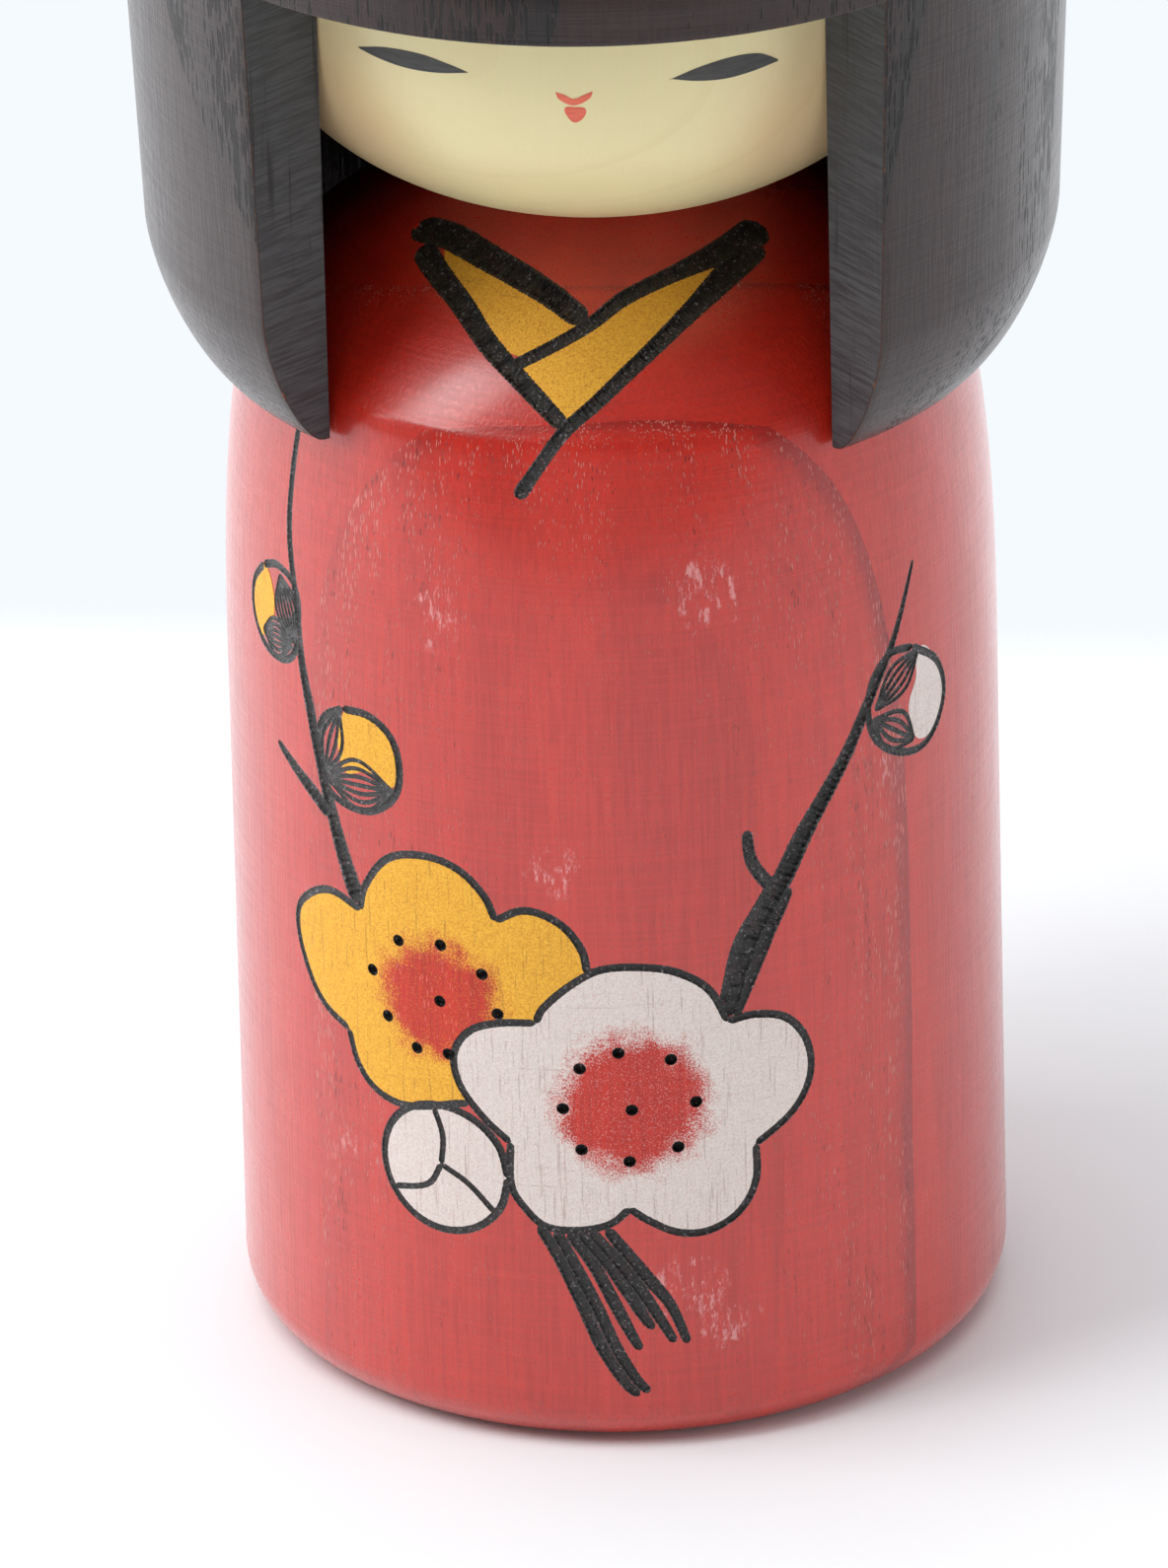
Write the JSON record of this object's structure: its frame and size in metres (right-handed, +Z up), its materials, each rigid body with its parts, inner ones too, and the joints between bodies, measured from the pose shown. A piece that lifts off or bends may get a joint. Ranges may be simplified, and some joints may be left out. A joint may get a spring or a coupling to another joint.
{
  "type": "kokeshi doll",
  "caption": "Turned wooden kokeshi doll: a round-shouldered body carries a head in a bored bell of bobbed hair with a face window, and head and hair turn together on a neck dowel.",
  "frame": {"origin": "centre of the flat base, on the surface that the doll stands on", "axes": "+Z up along the turning axis; the face looks along -Y; +X is to a viewer's right when they face the doll"},
  "size_m": [0.085, 0.085, 0.18],
  "materials": {
    "red_stained_wood": "satin lacquer over a red stain, with burnt black lines, gold and silver paint",
    "pale_wood": "satin clear lacquer on fine pale wood, with painted eyes and lips",
    "dark_stained_wood": "satin lacquer over a black-brown stain, with open pores",
    "dowel_wood": "plain wood"
  },
  "bodies": {
    "doll_body": {"body": "red_stained_wood", "neck_dowel": "dowel_wood"},
    "doll_head": {"head": "pale_wood", "crown_dowel": "dowel_wood", "hair": "dark_stained_wood"}
  },
  "joints": [
    {"name": "head_turn", "type": "hinge", "parent": "doll_body", "child": "doll_head", "pos_m": [0, 0, 0.1133], "axis": [0, 0, 1], "continuous": true}
  ]
}
